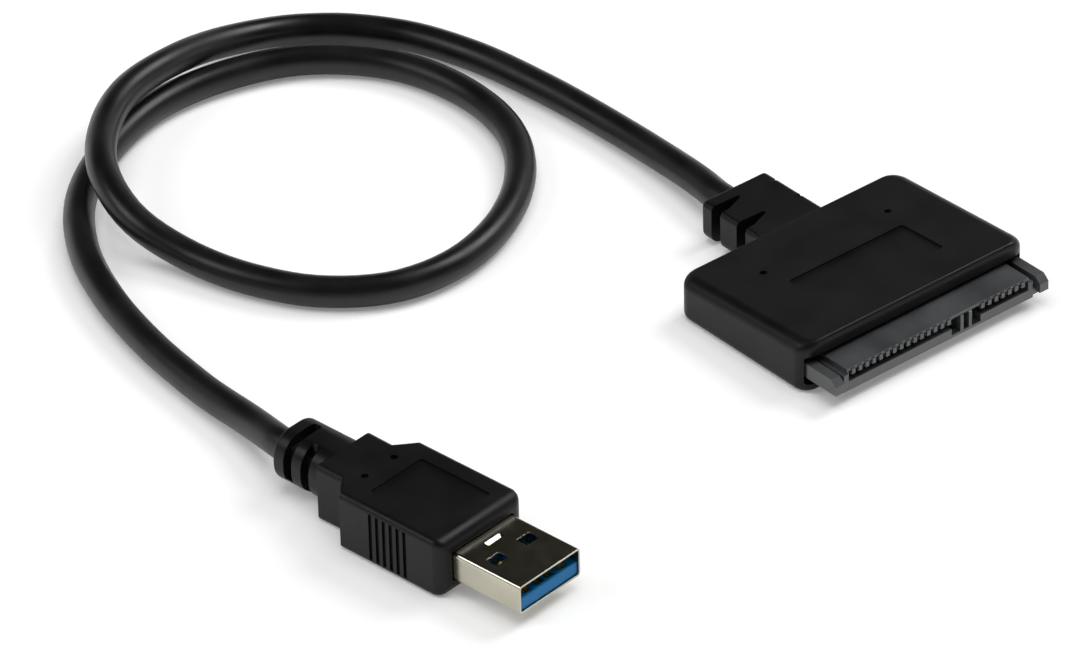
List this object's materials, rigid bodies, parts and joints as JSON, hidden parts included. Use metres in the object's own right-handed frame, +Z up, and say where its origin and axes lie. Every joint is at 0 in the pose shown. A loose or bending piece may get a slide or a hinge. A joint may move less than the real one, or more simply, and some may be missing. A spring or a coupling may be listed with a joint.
{
  "type": "usb to sata adapter",
  "caption": "Cable adapter with a USB type-A plug at one end and a keyed SATA drive receptacle head at the other.",
  "frame": {"origin": "on the floor under the middle of the drive head, cord and plug left out", "axes": "+Z up, mating face of the drive head towards -Y, cord leaves it towards +Y, signal end of the contact row at +X"},
  "size_m": [0.1119, 0.1381, 0.0097],
  "materials": {
    "overmold": "fine satin moulding",
    "jacket": "satin PVC jacket",
    "receptacle": "satin glass-filled plastic",
    "shell": "bright nickel plate",
    "tongue": "satin",
    "contact": "gold plate",
    "board": "solder mask",
    "chip": "moulded epoxy",
    "can": "plated lid",
    "ceramic": "fired ceramic"
  },
  "bodies": {
    "root": {"sata_overmold": "overmold", "usb_overmold": "overmold", "sata_receptacle": "receptacle", "cable": "jacket", "head_cable_end": "jacket", "plug_cable_end": "jacket", "usb_shell": "shell", "usb_insulator": "tongue", "circuit_board": "board", "bridge_chip": "chip", "voltage_regulator": "chip", "clock_crystal": "can", "power_contact_1": "contact", "power_contact_2": "contact", "power_contact_3": "contact", "power_contact_4": "contact", "power_contact_5": "contact", "power_contact_6": "contact", "power_contact_7": "contact", "power_contact_8": "contact", "power_contact_9": "contact", "power_contact_10": "contact", "power_contact_11": "contact", "power_contact_12": "contact", "power_contact_13": "contact", "power_contact_14": "contact", "power_contact_15": "contact", "signal_contact_1": "contact", "signal_contact_2": "contact", "signal_contact_3": "contact", "signal_contact_4": "contact", "signal_contact_5": "contact", "signal_contact_6": "contact", "signal_contact_7": "contact", "usb_flat_contact_1": "contact", "usb_flat_contact_2": "contact", "usb_flat_contact_3": "contact", "usb_flat_contact_4": "contact", "usb_spring_contact_1": "contact", "usb_spring_contact_2": "contact", "usb_spring_contact_3": "contact", "usb_spring_contact_4": "contact", "usb_spring_contact_5": "contact", "capacitor_1": "ceramic", "capacitor_2": "ceramic", "capacitor_3": "ceramic", "capacitor_4": "ceramic"}
  },
  "joints": []
}
